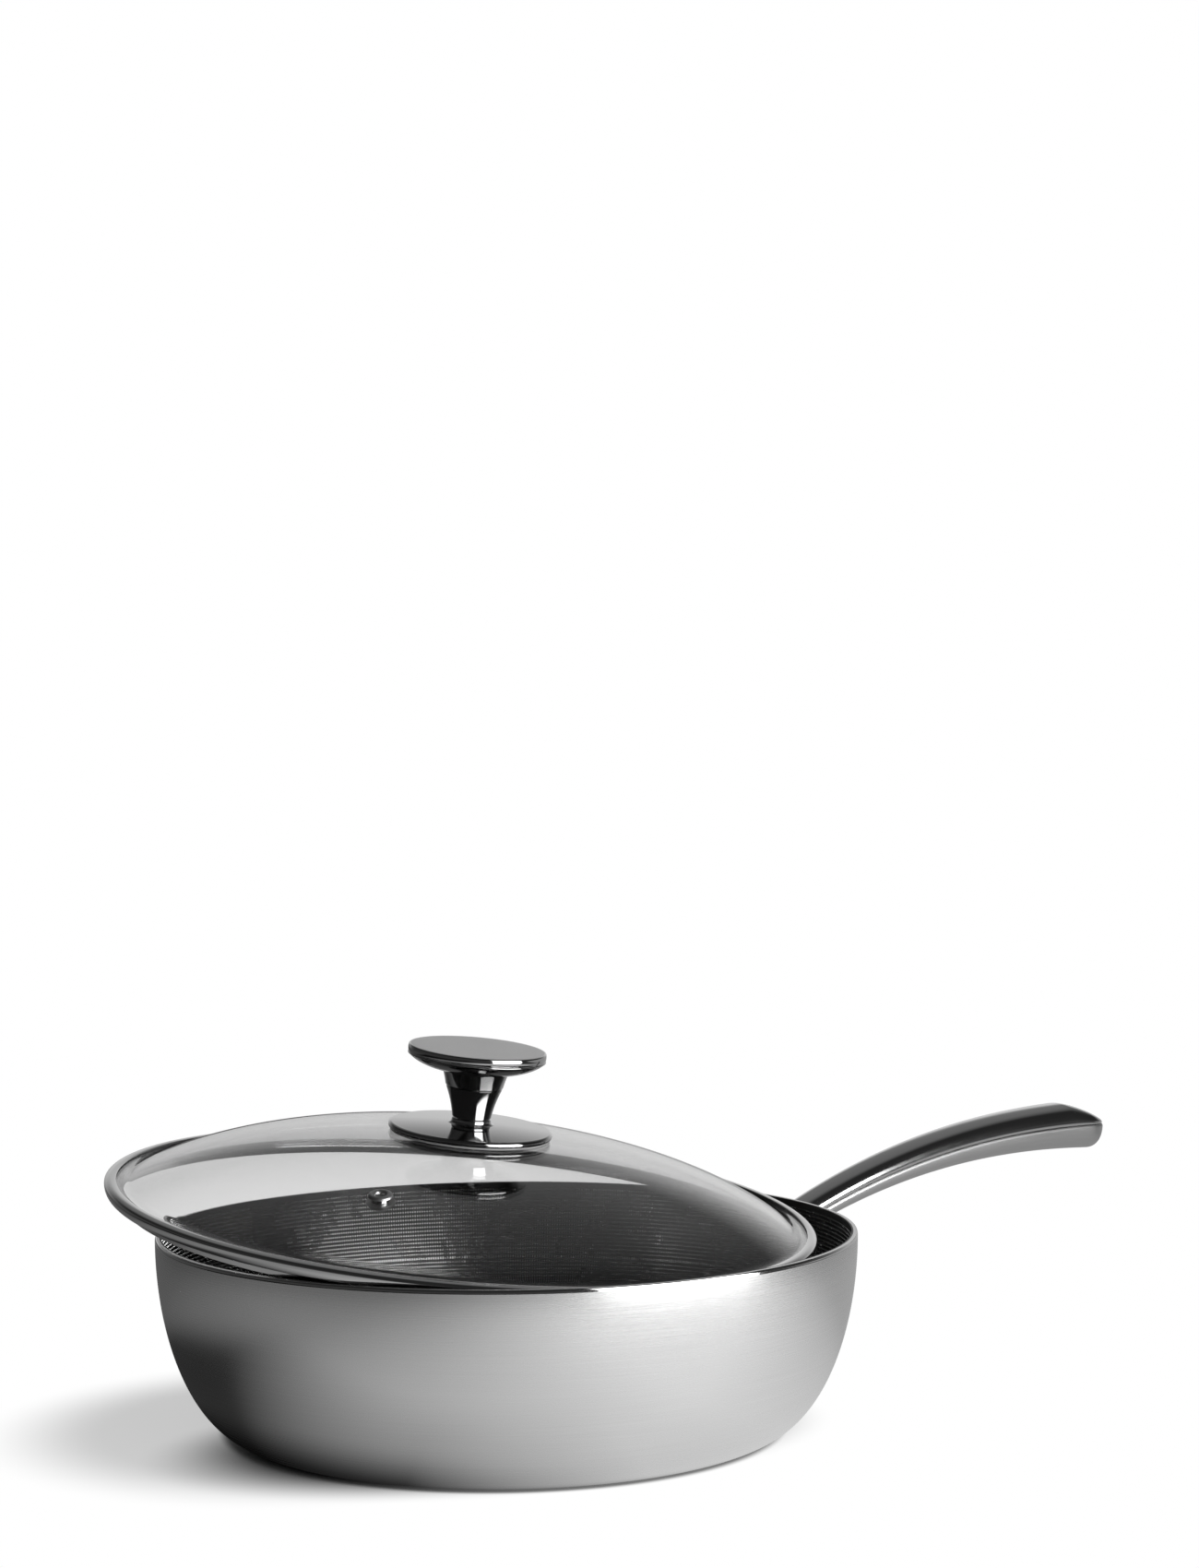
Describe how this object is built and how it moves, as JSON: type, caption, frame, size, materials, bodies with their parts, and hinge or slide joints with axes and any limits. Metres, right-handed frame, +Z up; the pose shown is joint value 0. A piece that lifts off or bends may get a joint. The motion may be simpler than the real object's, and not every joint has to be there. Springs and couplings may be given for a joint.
{
  "type": "deep saute pan with glass lid",
  "caption": "Round-walled deep pan of clad steel with a flat base, one long hollow handle and a domed glass lid with steel band, vent and knob, lying ajar on the rim.",
  "frame": {"origin": "centre of the flat base, on the surface the pan stands on", "axes": "+X from the pan's axis along the handle, +Z up"},
  "size_m": [0.4274, 0.264, 0.134],
  "materials": {
    "pan_satin": "satin stainless steel, soft reflections",
    "core": "bare aluminium, seen only on the rim's edge",
    "coating": "black non-stick coating with small raised bare steel dots",
    "bracket_satin": "satin stainless steel",
    "handle_polished": "polished stainless steel",
    "handle_satin": "satin stainless steel, lighter than the shell above it",
    "clear_glass": "clear tempered glass",
    "band_polished": "polished stainless sheet",
    "vent_steel": "bright stainless steel",
    "silicone": "grey silicone, matt",
    "knob_polished": "mirror-polished stainless steel",
    "knob_satin": "satin flat top with a polished edge",
    "screw_steel": "plain stainless steel"
  },
  "bodies": {
    "pan": {"pan_outer_skin": "pan_satin", "pan_core": "core", "pan_inner_skin": "coating", "handle_bracket": "bracket_satin", "handle_upper_shell": "handle_polished", "handle_lower_shell": "handle_satin"},
    "lid": {"lid_glass": "clear_glass", "lid_band": "band_polished", "vent_eyelet": "vent_steel", "vent_washer": "vent_steel", "knob_gasket": "silicone", "knob_base": "knob_polished", "knob_stem": "knob_polished", "knob_cap": "knob_satin", "knob_under_gasket": "silicone", "knob_washer": "screw_steel", "knob_screw": "screw_steel"}
  },
  "joints": [
    {"name": "lid_lift", "type": "slide", "parent": "pan", "child": "lid", "axis": [0, 0, 1], "range_m": [0, 0.15]}
  ]
}
